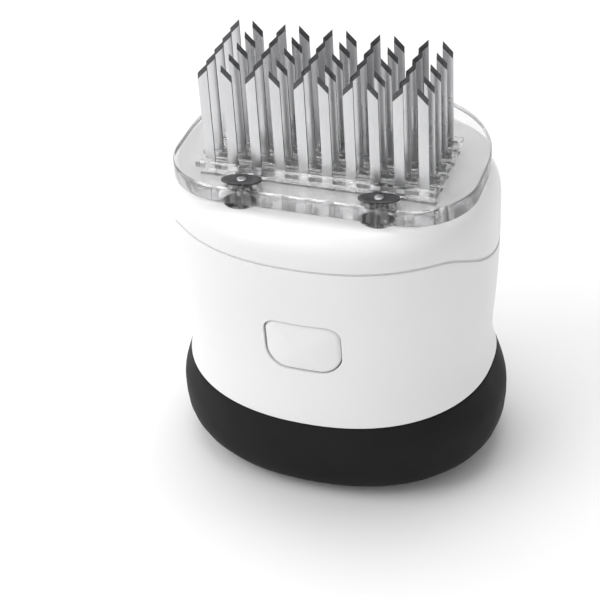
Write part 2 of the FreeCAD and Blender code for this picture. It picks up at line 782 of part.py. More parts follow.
def make_bush():
    """Flanged bush, turned about its own axis, its flange resting at height 0."""
    body = new_body("BushForm")
    sketch = new_sketch(body, "BushProfile", "XZ_Plane")
    inner, outer = float(cell("rod_radius") + fit), size("bush_radius")
    flange, long, thick = (float(cell(a)) for a in ("bush_flange_radius", "bush_length", "bush_flange"))
    points = [(inner, -long), (outer, -long), (outer, 0), (flange, 0), (flange, thick), (inner, thick)]
    count = len(points)
    for i in range(count):
        start, end = points[i], points[(i + 1) % count]
        sketch.addGeometry(Part.LineSegment(Vector(*start, 0), Vector(*end, 0)))
    for i in range(count):
        sketch.addConstraint(Sketcher.Constraint("Coincident", i, 2, (i + 1) % count, 1))
    for i in (0, 2, 4):
        sketch.addConstraint(Sketcher.Constraint("Horizontal", i))
        sketch.addConstraint(Sketcher.Constraint("Vertical", i + 1))
    sketch.addConstraint(Sketcher.Constraint("PointOnObject", 1, 2, -1))
    constrain(sketch, "DistanceX", cell("rod_radius") + fit, -1, 1, 0, 1)
    constrain(sketch, "DistanceX", cell("bush_radius"), -1, 1, 0, 2)
    constrain(sketch, "DistanceX", cell("bush_flange_radius"), -1, 1, 3, 1)
    constrain(sketch, "Distance", cell("bush_length"), 1)
    constrain(sketch, "Distance", cell("bush_flange"), 3)
    turned = body.newObject("PartDesign::Revolution", "BushTurning")
    turned.Profile = sketch
    turned.ReferenceAxis = (sketch, ["V_Axis"])
    turned.Angle = 360
    body.Tip = turned
    doc.recompute()
    return body


def at_posts(name, source, height):
    """The source piece at each of the four posts."""
    pieces = []
    for x, y in posts:
        piece = source.Shape.copy()
        piece.translate(Vector(float(x), float(y), float(height)))
        pieces.append(piece)
    return solid(name, Part.makeCompound(pieces))


def tubes(name, outer, inner, low, high):
    """Four upright tubes at the posts."""
    pieces = []
    for i, (x, y) in enumerate(posts):
        skin = cylinder("%sSkin%d" % (name, i), outer, high - low, x, y, low)
        bore = cylinder("%sBore%d" % (name, i), inner, high - low, x, y, low)
        pieces.append(cut("%s%d" % (name, i), skin, bore))
    return group(name, pieces)


def rods(name, radius, low, high):
    """Four upright rods at the posts."""
    pieces = [cylinder("%s%d" % (name, i), radius, high - low, x, y, low) for i, (x, y) in enumerate(posts)]
    return group(name, pieces)


def make_slider(name, y):
    """Bar that ties the lower ends of two guide rods."""
    body = new_body(name)
    outline = new_sketch(body, name + "Outline", "XY_Plane")
    draw_rectangle(outline, cell("slider_half_length"), cell("slider_half_depth"))
    pad(body, name + "Pad", outline, cell("slider_height"))
    holes = new_sketch(body, name + "Holes", "XY_Plane")
    for side in SIDES:
        draw_circle(holes, cell("rod_radius") + fit, cell("post_x"), 0, side)
    pocket(body, name + "Pocket", holes)
    return place(body, 0, y, slider_bottom)


def make_cap_discs():
    discs = []
    for i, (x, y) in enumerate(posts):
        rim = doc.addObject("Part::Ellipse", "CapOutline%d" % i)
        bind(rim, "MajorRadius", cell("cap_half_length"))
        bind(rim, "MinorRadius", cell("cap_half_depth"))
        place(rim, x, y, plate_top)
        disc = doc.addObject("Part::Extrusion", "CapBlank%d" % i)
        disc.Base = rim
        disc.Dir = Vector(0, 0, 1)
        disc.Solid = True
        bind(disc, "LengthFwd", cell("cap_height"))
        hole = cylinder("CapHole%d" % i, cell("cap_screw_radius") + fit, cell("cap_height") + 2 * OVERRUN,
                        x, y, plate_top - OVERRUN)
        discs.append(cut("CapDisc%d" % i, disc, hole))
    return group("CapDiscs", discs)


def make_cap_screws():
    """Screws through the discs and the plate; their tips rest on the rods' upper ends."""
    screws = []
    top = plate_top + cell("cap_height")
    for i, (x, y) in enumerate(posts):
        shank = cylinder("CapShank%d" % i, cell("cap_screw_radius"), top - rod_top, x, y, rod_top)
        head = cylinder("CapHead%d" % i, cell("cap_screw_head"), cell("cap_screw_head_height"), x, y, top)
        screws.append(fuse("CapScrew%d" % i, shank, head))
    return group("CapScrews", screws)


def make_button_cap():
    """Push button whose face follows the shell, with a flange behind the opening."""
    front = -2 * size("chest_half_depth")
    back = -float(button_back)
    height = size("button_height")
    cap = button_outline(0.0, front, back).common(hull(-size("button_proud")))
    flange_front = back - size("button_flange_thickness")
    flange = button_outline(size("button_flange"), flange_front, back)
    hole = Part.makeCylinder(size("latch_screw_radius"), size("latch_screw_bite"),
                             Vector(0, back - size("latch_screw_bite"), height), Vector(0, 1, 0))
    return solid("ButtonCapForm", cap.fuse(flange).cut(hole))


def make_latch():
    """Hook that passes under the front slider and rises behind it."""
    half = cell("latch_half_width")
    thick = cell("latch_thickness")
    front = -button_back
    low = cell("latch_low")
    slider_back = front_post_y + cell("slider_half_depth")
    leg_front = slider_back + cell("latch_back_gap")
    leg_back = leg_front + thick
    nose_low = slider_top + cell("latch_nose_gap")
    nose_top = nose_low + cell("latch_nose")
    spring_z = cell("button_spring_height")
    arm = box("LatchArm", (-half, front, low), (half, front + thick, cell("button_height") + half))
    foot = box("LatchFoot", (-half, front, low), (half, leg_back, low + thick))
    leg = box("LatchLeg", (-half, leg_front, low), (half, leg_back, nose_top))
    nose = box("LatchNose", (-half, slider_back + cell("latch_nose_gap"), nose_low),
               (half, leg_back, nose_top))
    lug = box("LatchLug", (-half, -lug_front, spring_z - cell("button_spring_radius")),
              (half, cell("lug_thickness") - lug_front, low + thick))
    hole = cylinder("LatchHole", cell("latch_screw_radius") + fit, thick + 2 * OVERRUN, 0, front - OVERRUN,
                    cell("button_height"), ALONG_Y)
    return cut("Latch", fuse("LatchBody", arm, foot, leg, nose, lug), hole)


def make_latch_screw():
    """Screw that holds the latch on the button's back."""
    front = -button_back - cell("latch_screw_bite")
    back = cell("latch_thickness") - button_back
    height = cell("button_height")
    shank = cylinder("LatchShank", cell("latch_screw_radius"), back - front + OVERRUN, 0, front, height,
                     ALONG_Y)
    head = cylinder("LatchHead", cell("latch_screw_head"), cell("latch_screw_head_height"), 0, back, height,
                    ALONG_Y)
    return fuse("LatchScrew", shank, head)


def make_button_spring():
    """Compression spring between the latch's lug and the wall behind it."""
    front = cell("lug_thickness") - lug_front
    length = -spring_wall_front - front
    height = cell("button_spring_height")
    skin = cylinder("ButtonSpringSkin", cell("button_spring_radius"), length, 0, front, height, ALONG_Y)
    bore = cylinder("ButtonSpringBore", cell("button_spring_radius") - cell("button_spring_wire"), length, 0,
                    front, height, ALONG_Y)
    return cut("ButtonSpring", skin, bore)


node(make_grip(), "grip")
node(make_handle_shell(), "handle_shell")
node(make_upper_housing(), "upper_housing")
node(make_carrier(), "blade_carrier")
node(make_backing_plate(), "backing_plate")
node(make_housing_screws(), "housing_screws")
blade_form = make_blade()
for number in range(row_count):
    node(make_blade_row(number, blade_form), "blade_row_%d" % (number + 1))
node(make_blade_rods(), "blade_rods")
node(at_posts("GuideBushes", make_bush(), well_bottom), "guide_bushes")
node(tubes("StopBuffers", cell("bush_radius"), cell("rod_radius") + fit * 2, buffer_bottom, bush_bottom),
     "stop_buffers")
node(rods("SpringPins", cell("spring_pin_radius"), spring_pin_bottom, cell("spring_pin_top")), "spring_pins")
node(tubes("GuardSprings", cell("spring_outer"), cell("spring_outer") - cell("spring_wire"),
           cell("spring_seat"), slider_bottom), "guard_springs")
node(make_guard_plate(), "guard_plate")
node(make_cap_discs(), "cap_discs")
node(make_cap_screws(), "cap_screws")
node(rods("GuideRods", cell("rod_radius"), rod_bottom, rod_top), "guide_rods")
node(make_slider("FrontSlider", front_post_y), "front_slider")
node(make_slider("RearSlider", rear_post_y), "rear_slider")
nut_bottom = slider_bottom - cell("nut_height")
node(tubes("RodNuts", cell("nut_radius"), cell("rod_radius"), nut_bottom, slider_bottom), "rod_nuts")
node(make_button_cap(), "button_cap")
node(make_latch(), "latch_hook")
node(make_latch_screw(), "latch_screw")
node(make_button_spring(), "button_spring")

doc.recompute()
for obj in doc.Objects:
    if "Invalid" in obj.State or "Error" in obj.State:
        raise RuntimeError("%s could not be computed: %s" % (obj.Name, obj.State))
for obj in nodes:
    if obj.Shape.isNull() or not obj.Shape.isValid():
        raise RuntimeError("%s has no valid shape" % obj.Label)

os.makedirs("parts", exist_ok=True)
for obj in nodes:
    obj.Shape.exportStep("parts/%s.step" % obj.Label)
    print("%-16s %3d solids %10.1f mm3" % (obj.Label, len(obj.Shape.Solids), obj.Shape.Volume))
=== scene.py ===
"""Looks of the blade meat tenderizer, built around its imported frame.

Lengths are millimetres up to the moment a mesh is made. +Z is up along the blades and -Y is the
button's side. The outer form is a stack of superellipses, the same one as the solids have.
"""
import math

import bmesh
import bpy
import numpy as np
from mathutils import Matrix, Vector


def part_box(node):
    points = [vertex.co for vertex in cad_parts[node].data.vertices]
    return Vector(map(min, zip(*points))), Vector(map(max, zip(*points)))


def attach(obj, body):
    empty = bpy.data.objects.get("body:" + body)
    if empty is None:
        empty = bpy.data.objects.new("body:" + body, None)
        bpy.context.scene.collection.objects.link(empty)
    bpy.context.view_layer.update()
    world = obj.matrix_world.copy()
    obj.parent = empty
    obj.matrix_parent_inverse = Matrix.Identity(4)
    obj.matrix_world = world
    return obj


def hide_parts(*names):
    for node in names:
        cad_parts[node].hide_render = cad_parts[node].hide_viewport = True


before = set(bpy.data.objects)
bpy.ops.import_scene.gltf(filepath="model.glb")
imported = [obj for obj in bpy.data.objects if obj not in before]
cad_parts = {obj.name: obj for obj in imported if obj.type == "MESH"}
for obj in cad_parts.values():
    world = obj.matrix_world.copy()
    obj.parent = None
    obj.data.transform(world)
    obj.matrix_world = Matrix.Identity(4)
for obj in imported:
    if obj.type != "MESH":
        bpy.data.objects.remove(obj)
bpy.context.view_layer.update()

MM = 0.001


# The form, in millimetres
OVAL_POWER = 2.25
FOOT_SHARE = 0.96
DOME_POWER_ACROSS = 3.6
DOME_POWER_DEEP = 5.0
DECK_HEIGHT, DECK_HALF_WIDTH, DECK_HALF_DEPTH = 101.2, 47.6, 31.0
SWELL_HEIGHT = 20.0
CHEST_HEIGHT = 92.0
LEVEL_HEIGHTS = (SWELL_HEIGHT, 37.0, 50.0, 72.0, CHEST_HEIGHT)
LEVEL_HALF_WIDTHS = (53.7, 49.2, 49.2, 50.7, 51.0)
LEVEL_HALF_DEPTHS = (40.4, 39.9, 39.0, 40.1, 41.3)
PARTING_FRONT = 90.0
PARTING_SIDE = 75.9
PARTING_SIDE_RADIUS = 62.0
PARTING_SIDE_CENTRE = 15.1
PARTING_SHARPNESS = 0.55
PARTING_PASSES = 6
PARTING_GAP = 0.3
GRIP_EDGE_FRONT = 30.0
GRIP_EDGE_RADIUS = 400.0
GRIP_THICKNESS = 3.0
SHELL_WALL = 2.8
HOUSING_WALL = 4.2
LIP_FACE = 2.95
LIP_DEPTH = 4.0
COLUMNS = 240


def low_of(node):
    """A node's lowest corner in millimetres."""
    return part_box(node)[0] / MM


def high_of(node):
    """A node's highest corner in millimetres."""
    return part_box(node)[1] / MM


def middle_of(node):
    """The middle of a node's box in millimetres."""
    return (low_of(node) + high_of(node)) / 2


GRID_Y = middle_of("blade_row_3").y
CARRIER_LOW = low_of("blade_row_3").z
BLADE_TIP = high_of("blade_row_3").z
PLATE_TOP = low_of("cap_discs").z
BAR_TOP = high_of("guard_plate").z
BOSS_LOW = low_of("guard_plate").z
ROD_RADIUS = 2.5
POST_X = high_of("guide_rods").x - ROD_RADIUS
POST_Y = (high_of("guide_rods").y - low_of("guide_rods").y) / 2 - ROD_RADIUS
POSTS = [(side_x * POST_X, GRID_Y + side_y * POST_Y) for side_y in (-1, 1) for side_x in (-1, 1)]


def clamped_spline(knots, values):
    """A smooth curve through the levels, upright at both ends, as a function of height."""
    x, y = np.array(knots), np.array(values)
    count = len(x)
    rows, right = np.eye(count), np.zeros(count)
    for i in range(1, count - 1):
        below, above = x[i] - x[i - 1], x[i + 1] - x[i]
        rows[i, i - 1:i + 2] = above, 2 * (below + above), below
        right[i] = 3 * (above * (y[i] - y[i - 1]) / below + below * (y[i + 1] - y[i]) / above)
    slopes = np.linalg.solve(rows, right)

    def curve(height):
        i = np.clip(np.searchsorted(x, height) - 1, 0, count - 2)
        span = x[i + 1] - x[i]
        t = (height - x[i]) / span
        return (y[i] * (1 + 2 * t) * (1 - t) ** 2 + slopes[i] * span * t * (1 - t) ** 2
                + y[i + 1] * t * t * (3 - 2 * t) + slopes[i + 1] * span * t * t * (t - 1))
    return curve


wall_width = clamped_spline(LEVEL_HEIGHTS, LEVEL_HALF_WIDTHS)
wall_depth = clamped_spline(LEVEL_HEIGHTS, LEVEL_HALF_DEPTHS)


def half_sizes(height, inset=0.0):
    """Half width and half depth of the body at some heights, moved in by inset."""
    height = np.asarray(height, float)
    wall = np.clip(height, SWELL_HEIGHT, CHEST_HEIGHT)
    across, deep = wall_width(wall), wall_depth(wall)
    rise = np.clip((height - CHEST_HEIGHT) / (DECK_HEIGHT - CHEST_HEIGHT - inset), 0, 1)
    spread = np.sqrt(1 - rise ** 2)
    across = across - (LEVEL_HALF_WIDTHS[-1] - DECK_HALF_WIDTH) * (1 - spread) - inset
    deep = deep - (LEVEL_HALF_DEPTHS[-1] - DECK_HALF_DEPTH) * (1 - spread) - inset
    drop = np.clip((SWELL_HEIGHT - height) / (SWELL_HEIGHT - inset), 0, 1) * FOOT_SHARE
    across = across * (1 - drop ** DOME_POWER_ACROSS) ** (1 / DOME_POWER_ACROSS)
    deep = deep * (1 - drop ** DOME_POWER_DEEP) ** (1 / DOME_POWER_DEEP)
    return across, deep


turns = np.arange(COLUMNS) * 2 * math.pi / COLUMNS
ROOT = 2 / OVAL_POWER
oval_x = np.sign(np.cos(turns)) * np.abs(np.cos(turns)) ** ROOT
oval_y = np.sign(np.sin(turns)) * np.abs(np.sin(turns)) ** ROOT


def ring(height, inset=0.0, scale=1.0):
    """One loop of points round the body; height may differ from column to column."""
    height = np.broadcast_to(np.asarray(height, float), (COLUMNS,))
    across, deep = half_sizes(height, inset)
    return np.stack([across * oval_x * scale, deep * oval_y * scale, height], 1)


def front_y(x, z):
    """The front surface's y at points given by x and z."""
    across, deep = half_sizes(z)
    return -deep * (1 - np.clip(np.abs(x) / across, 0, 1) ** OVAL_POWER) ** (1 / OVAL_POWER)


def parting_heights():
    """Height of the parting line in each column: level in front, dipping at the sides and back."""
    height = np.full(COLUMNS, PARTING_FRONT)
    for _ in range(PARTING_PASSES):
        y = half_sizes(height)[1] * oval_y
        reach = np.clip(PARTING_SIDE_RADIUS ** 2 - (y - PARTING_SIDE_CENTRE) ** 2, 0, None)
        dip = PARTING_SIDE + PARTING_SIDE_RADIUS - np.sqrt(reach)
        both = np.exp(-PARTING_SHARPNESS * PARTING_FRONT) + np.exp(-PARTING_SHARPNESS * dip)
        height = -np.log(both) / PARTING_SHARPNESS
    return height


def grip_edge_heights():
    """Height of the grip's edge in each column: an arc seen from the front."""
    x = half_sizes(np.full(COLUMNS, GRIP_EDGE_FRONT))[0] * oval_x
    return GRIP_EDGE_FRONT + GRIP_EDGE_RADIUS - np.sqrt(GRIP_EDGE_RADIUS ** 2 - x ** 2)


PARTING = parting_heights()
GRIP_EDGE = grip_edge_heights()


def new_object(name, mesh, smooth_angle=35.0):
    """Link a mesh, in metres, with its normals made consistent and its sharp edges kept."""
    scratch = bmesh.new()
    scratch.from_mesh(mesh)
    bmesh.ops.recalc_face_normals(scratch, faces=scratch.faces)
    scratch.to_mesh(mesh)
    scratch.free()
    mesh.polygons.foreach_set("use_smooth", [True] * len(mesh.polygons))
    mesh.set_sharp_from_angle(angle=math.radians(smooth_angle))
    obj = bpy.data.objects.new(name, mesh)
    bpy.context.scene.collection.objects.link(obj)
    return obj


def mesh_of(name, points, faces):
    """A mesh in metres from points in millimetres."""
    mesh = bpy.data.meshes.new(name)
    mesh.from_pydata([Vector(p) * MM for p in points], [], [list(map(int, f)) for f in faces])
    return mesh


def wall_faces(loops, count, closed=False):
    """Quads between neighbouring loops of count points, the last and first too if closed."""
    faces = []
    for i in range(loops if closed else loops - 1):
        a, b = i * count, (i + 1) % loops * count
        for k in range(count):
            n = (k + 1) % count
            faces.append((a + k, a + n, b + n, b + k))
    return faces


def skin(name, rings, closed=False, smooth_angle=35.0):
    """A solid from loops of equal length: a ring if closed, else shut by a point at each end."""
    count = len(rings[0])
    points = [p for loop in rings for p in loop]
    faces = wall_faces(len(rings), count, closed)
    if not closed:
        for start, loop in ((0, rings[0]), ((len(rings) - 1) * count, rings[-1])):
            points.append(np.mean(loop, axis=0))
            hub = len(points) - 1
            faces += [(start + k, start + (k + 1) % count, hub) for k in range(count)]
    return new_object(name, mesh_of(name, points, faces), smooth_angle)


def quarter_turn(steps):
    """Angles from nothing to a right angle, both included."""
    return [i / steps * math.pi / 2 for i in range(steps + 1)]


def edge_round(height, radius, side):
    """Loops that round an edge over: side 1 for an upper edge, -1 for a lower edge."""
    return [ring(height - side * radius * (1 - math.sin(turn)), radius * (1 - math.cos(turn)))
            for turn in quarter_turn(4)]


def between(low, high, steps):
    """Loops spaced evenly between two heights, both left out."""
    return [ring(low + (high - low) * i / steps) for i in range(1, steps)]


def apply_boolean(obj, tool, operation):
    """Cut or join with another object, which is then removed."""
    modifier = obj.modifiers.new("boolean", "BOOLEAN")
    modifier.operation = operation
    modifier.solver = "EXACT"
    modifier.object = tool
    graph = bpy.context.evaluated_depsgraph_get()
    mesh = bpy.data.meshes.new_from_object(obj.evaluated_get(graph))
    obj.modifiers.clear()
    old = obj.data
    obj.data = mesh
    bpy.data.meshes.remove(old)
    bpy.data.objects.remove(tool)


def resmooth(obj, smooth_angle):
    """Set the smooth and sharp edges again after cuts."""
    mesh = obj.data
    mesh.polygons.foreach_set("use_smooth", [True] * len(mesh.polygons))
    mesh.set_sharp_from_angle(angle=math.radians(smooth_angle))


def turned(name, profile, centre, steps, closed=False):
    """(radius, height) points turned about a vertical line: a tube if closed, else a solid."""
    angles = np.arange(steps) * 2 * math.pi / steps
    across, deep = np.cos(angles), np.sin(angles)
    rings = [np.stack([centre[0] + r * across, centre[1] + r * deep, np.full(steps, z)], 1)
             for r, z in profile]
    return skin(name, rings, closed)


def rounded_box(name, low, high, radius, steps=3):
    """A box with every edge rounded, or sharp at a radius of nothing."""
    mesh = bpy.data.meshes.new(name)
    form = bmesh.new()
    bmesh.ops.create_cube(form, size=1.0)
    low, high = Vector(low) * MM, Vector(high) * MM
    for vertex in form.verts:
        vertex.co = Vector((low[i] + high[i]) / 2 + vertex.co[i] * (high[i] - low[i])
                           for i in range(3))
    if radius > 0:
        bmesh.ops.bevel(form, geom=form.edges[:], offset=radius * MM, segments=steps, profile=0.5,
                        affect="EDGES", clamp_overlap=True)
    form.to_mesh(mesh)
    form.free()
    return new_object(name, mesh, 50.0)


def join(name, parts):
    """One object from several, keeping their meshes apart inside it."""
    form = bmesh.new()
    for part in parts:
        form.from_mesh(part.data)
        bpy.data.objects.remove(part)
    mesh = bpy.data.meshes.new(name)
    form.to_mesh(mesh)
    form.free()
    obj = bpy.data.objects.new(name, mesh)
    bpy.context.scene.collection.objects.link(obj)
    return obj


# Materials
def new_material(name):
    """A material with its node tree and its shader."""
    material = bpy.data.materials.new(name)
    material.use_nodes = True
    tree = material.node_tree
    shader = tree.nodes["Principled BSDF"]
    return material, tree, shader


def add(tree, kind, **inputs):
    """A node with its properties and inputs set by name."""
    node = tree.nodes.new(kind)
    for key, value in inputs.items():
        label = key.replace("_", " ")
        if label in node.inputs:
            node.inputs[label].default_value = value
        else:
            setattr(node, key, value)
    return node


def object_noise(tree, scale, detail=3.0, roughness=0.5, stretch=(1, 1, 1)):
    """Noise fixed to the piece, stretched if asked."""
    place = add(tree, "ShaderNodeTexCoord")
    mapping = add(tree, "ShaderNodeMapping")
    mapping.inputs["Scale"].default_value = stretch
    noise = add(tree, "ShaderNodeTexNoise", Scale=scale, Detail=detail, Roughness=roughness)
    tree.links.new(place.outputs["Object"], mapping.inputs["Vector"])
    tree.links.new(mapping.outputs["Vector"], noise.inputs["Vector"])
    return noise.outputs["Fac"]


def ramp(tree, source, low, high, start=0.3, end=0.7):
    """Map a value to a range, clamped."""
    node = add(tree, "ShaderNodeMapRange")
    node.inputs["From Min"].default_value = start
    node.inputs["From Max"].default_value = end
    node.inputs["To Min"].default_value = low
    node.inputs["To Max"].default_value = high
    tree.links.new(source, node.inputs["Value"])
    return node.outputs["Result"]


def mix_colours(tree, factor, first, second):
    """The first colour at a factor of 0, the second at 1."""
    node = add(tree, "ShaderNodeMix", data_type="RGBA")
    node.inputs[6].default_value = (*first, 1)
    node.inputs[7].default_value = (*second, 1)
    tree.links.new(factor, node.inputs[0])
    return node.outputs[2]


def add_bump(tree, shader, source, distance):
    """Relief as deep as distance, in millimetres."""
    bump = add(tree, "ShaderNodeBump", Strength=1.0, Distance=distance * MM)
    tree.links.new(source, bump.inputs["Height"])
    tree.links.new(bump.outputs["Normal"], shader.inputs["Normal"])


def plastic(name, light, dark, roughness, grain_scale, grain_depth):
    """Moulded plastic: faint clouding, uneven gloss and an uneven skin."""
    material, tree, shader = new_material(name)
    clouds = object_noise(tree, 28.0, 1.0)
    colour = mix_colours(tree, ramp(tree, clouds, 0, 1, 0.1, 0.9), light, dark)
    tree.links.new(colour, shader.inputs["Base Color"])
    gloss = ramp(tree, object_noise(tree, 90.0, 1.0), roughness * 0.9, roughness * 1.15, 0.0, 1.0)
    tree.links.new(gloss, shader.inputs["Roughness"])
    add_bump(tree, shader, object_noise(tree, grain_scale, 1.0), grain_depth)
    return material, shader


def white_plastic():
    """Gloss white shells."""
    material, shader = plastic("white_abs", (0.84, 0.84, 0.84), (0.815, 0.815, 0.815),
                               0.3, 130.0, 0.006)
    shader.inputs["IOR"].default_value = 1.53
    return material


def soft_grip():
    """Matt black, soft to the hand."""
    material, shader = plastic("soft_black", (0.004, 0.004, 0.0042), (0.007, 0.007, 0.0072),
                               0.6, 2400.0, 0.012)
    shader.inputs["Specular IOR Level"].default_value = 0.2
    return material


def grey_plastic():
    """Plain grey parts inside the handle."""
    return plastic("grey_nylon", (0.36, 0.36, 0.37), (0.31, 0.31, 0.32), 0.5, 2200.0, 0.01)[0]


def clear_plastic():
    """Clear moulding with faint flow waves and a slightly uneven polish."""
    material, tree, shader = new_material("clear_moulding")
    tint = ramp(tree, object_noise(tree, 30.0, 2.0), 0, 1)
    colour = mix_colours(tree, tint, (0.998, 0.998, 0.998), (0.986, 0.986, 0.987))
    tree.links.new(colour, shader.inputs["Base Color"])
    shader.inputs["Transmission Weight"].default_value = 1.0
    shader.inputs["IOR"].default_value = 1.45
    shader.inputs["Alpha"].default_value = 0.88
    polish = object_noise(tree, 240.0, 3.0)
    tree.links.new(ramp(tree, polish, 0.0, 0.02), shader.inputs["Roughness"])
    add_bump(tree, shader, object_noise(tree, 90.0, 2.0), 0.01)
    return material


def brushed(name, light, dark, roughness, stretch, scale, depth):
    """Metal with fine lines along one direction."""
    material, tree, shader = new_material(name)
    lines = object_noise(tree, scale, 5.0, 0.6, stretch)
    clouds = object_noise(tree, 60.0, 2.0)
    polish = ramp(tree, clouds, roughness * 0.8, roughness * 1.25)
    colour = mix_colours(tree, ramp(tree, lines, 0, 1), dark, light)
    tree.links.new(colour, shader.inputs["Base Color"])
    shader.inputs["Metallic"].default_value = 1.0
    tree.links.new(polish, shader.inputs["Roughness"])
    add_bump(tree, shader, lines, depth)
    return material


def turned_disc():
    """Dark metal with the rings that turning leaves about the piece's own centre."""
    material, tree, shader = new_material("turned_disc")
    place = add(tree, "ShaderNodeTexCoord")
    wave = add(tree, "ShaderNodeTexWave", wave_type="RINGS", rings_direction="SPHERICAL",
               Scale=900.0, Distortion=1.5, Detail=2.0)
    tree.links.new(place.outputs["Object"], wave.inputs["Vector"])
    patches = object_noise(tree, 420.0, 4.0, 0.6)
    blend = add(tree, "ShaderNodeMath", operation="MULTIPLY")
    tree.links.new(wave.outputs["Fac"], blend.inputs[0])
    tree.links.new(patches, blend.inputs[1])
    shade = ramp(tree, blend.outputs["Value"], 0, 1, 0.1, 0.6)
    colour = mix_colours(tree, shade, (0.035, 0.035, 0.036), (0.19, 0.19, 0.195))
    tree.links.new(colour, shader.inputs["Base Color"])
    shader.inputs["Metallic"].default_value = 0.9
    tree.links.new(ramp(tree, patches, 0.3, 0.5), shader.inputs["Roughness"])
    add_bump(tree, shader, wave.outputs["Fac"], 0.01)
    return material


WHITE = white_plastic()
BLACK = soft_grip()
GREY = grey_plastic()
CLEAR = clear_plastic()
# The blades' broad faces, then their sheared edges and ground bevels in darker steel, which is
# painted shade
STRIP = brushed("blade_strip", (0.72, 0.72, 0.73), (0.6, 0.6, 0.61),
                0.3, (9, 9, 0.25), 900.0, 0.003)
SHEARED_EDGE_SHADE = brushed("blade_edges_painted_shade", (0.2, 0.2, 0.205), (0.12, 0.12, 0.125),
                  0.38, (9, 9, 0.4), 700.0, 0.004)
GROUND_BEVEL_SHADE = brushed("blade_grind_painted_shade", (0.16, 0.16, 0.165), (0.08, 0.08, 0.083),
                 0.3, (1, 9, 9), 700.0, 0.004)
# Rods, screws and plates, and the discs' undersides as painted light; wire and screw heads; the
# discs over the posts
DRAWN = brushed("drawn_steel", (0.82, 0.82, 0.83), (0.7, 0.7, 0.71),
                0.34, (6, 6, 0.3), 500.0, 0.002)
SPRING = brushed("spring_wire", (0.5, 0.5, 0.51), (0.4, 0.4, 0.41),
                 0.25, (2, 2, 2), 500.0, 0.002)
DISC = turned_disc()


def dress(obj, material, body, slot, *nodes):
    """Give a piece its material, its body and the nodes it stands for; the slot argument is not
    used.
    """
    if material is not None:
        obj.data.materials.clear()
        obj.data.materials.append(material)
    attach(obj, body)
    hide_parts(*nodes)


# The soft grip
def make_grip():
    """One skin: flat foot, dome, swell, the edge against the shell, and its inside."""
    edge = 0.45
    loops = [ring(0.0, 0.0, s) for s in (0.05, 0.3, 0.6, 0.85, 0.96)]
    loops += [ring(z) for z in (0.0, 0.25, 0.7, 1.5, 2.8, 4.5, 6.5, 9.0, 12.0, 16.0, SWELL_HEIGHT)]
    loops += between(SWELL_HEIGHT, GRIP_EDGE - edge, 8)
    loops += edge_round(GRIP_EDGE, edge, 1)
    loops += [ring(z, GRIP_THICKNESS) for z in (GRIP_EDGE, 14.0, 6.0, GRIP_THICKNESS)]
    loops.append(ring(GRIP_THICKNESS, GRIP_THICKNESS, 0.1))
    dress(skin("soft_grip", loops), BLACK, "handle", "black_elastomer", "grip")


# The white lower shell, with the button's opening
BUTTON_MIDDLE = 59.4
BUTTON_HALF_WIDTH = 12.0
BUTTON_HALF_HEIGHT = 8.9
BUTTON_TOP_CORNER = 4.0
BUTTON_BOTTOM_CORNER = 7.0
BUTTON_GAP = 0.35
BUTTON_PROUD = 0.7
BUTTON_EDGE = 1.5
BUTTON_DEPTH = 4.5
BUTTON_ARC_STEPS = 10
BUTTON_SIDE_STEPS = 8
OPENING_LIP = 0.3
SHELL_FIT = 0.1
GRIP_GAP = 0.05


def button_outline(grow=0.0):
    """The button's outline as (x, z) points, grown all round."""
    half_width, half_height = BUTTON_HALF_WIDTH + grow, BUTTON_HALF_HEIGHT + grow
    corners = ((1, 1, BUTTON_TOP_CORNER, 0), (-1, 1, BUTTON_TOP_CORNER, 90),
               (-1, -1, BUTTON_BOTTOM_CORNER, 180), (1, -1, BUTTON_BOTTOM_CORNER, 270))
    points = []
    for side_x, side_z, corner, start in corners:
        radius = corner + grow
        centre = np.array([side_x * (half_width - radius), side_z * (half_height - radius)])
        for i in range(BUTTON_ARC_STEPS + 1):
            turn = math.radians(start + 90 * i / BUTTON_ARC_STEPS)
            points.append(centre + radius * np.array([math.cos(turn), math.sin(turn)]))
    filled = []
    for i, point in enumerate(points):
        following = points[(i + 1) % len(points)]
        filled.append(point)
        if np.linalg.norm(following - point) > 2.0:
            filled += [point + (following - point) * k / BUTTON_SIDE_STEPS
                       for k in range(1, BUTTON_SIDE_STEPS)]
    return np.array(filled) + np.array([0, BUTTON_MIDDLE])


def prism_along_y(name, outline, front, back):
    """A straight prism over an outline of (x, z) points."""
    rings = [np.stack([outline[:, 0], np.full(len(outline), y), outline[:, 1]], 1)
             for y in (front, back)]
    return skin(name, rings)


def surface_loop(outline, depth):
    """A loop on the front surface, sunk by depth."""
    y = front_y(outline[:, 0], outline[:, 1]) + depth
    return np.stack([outline[:, 0], y, outline[:, 1]], 1)


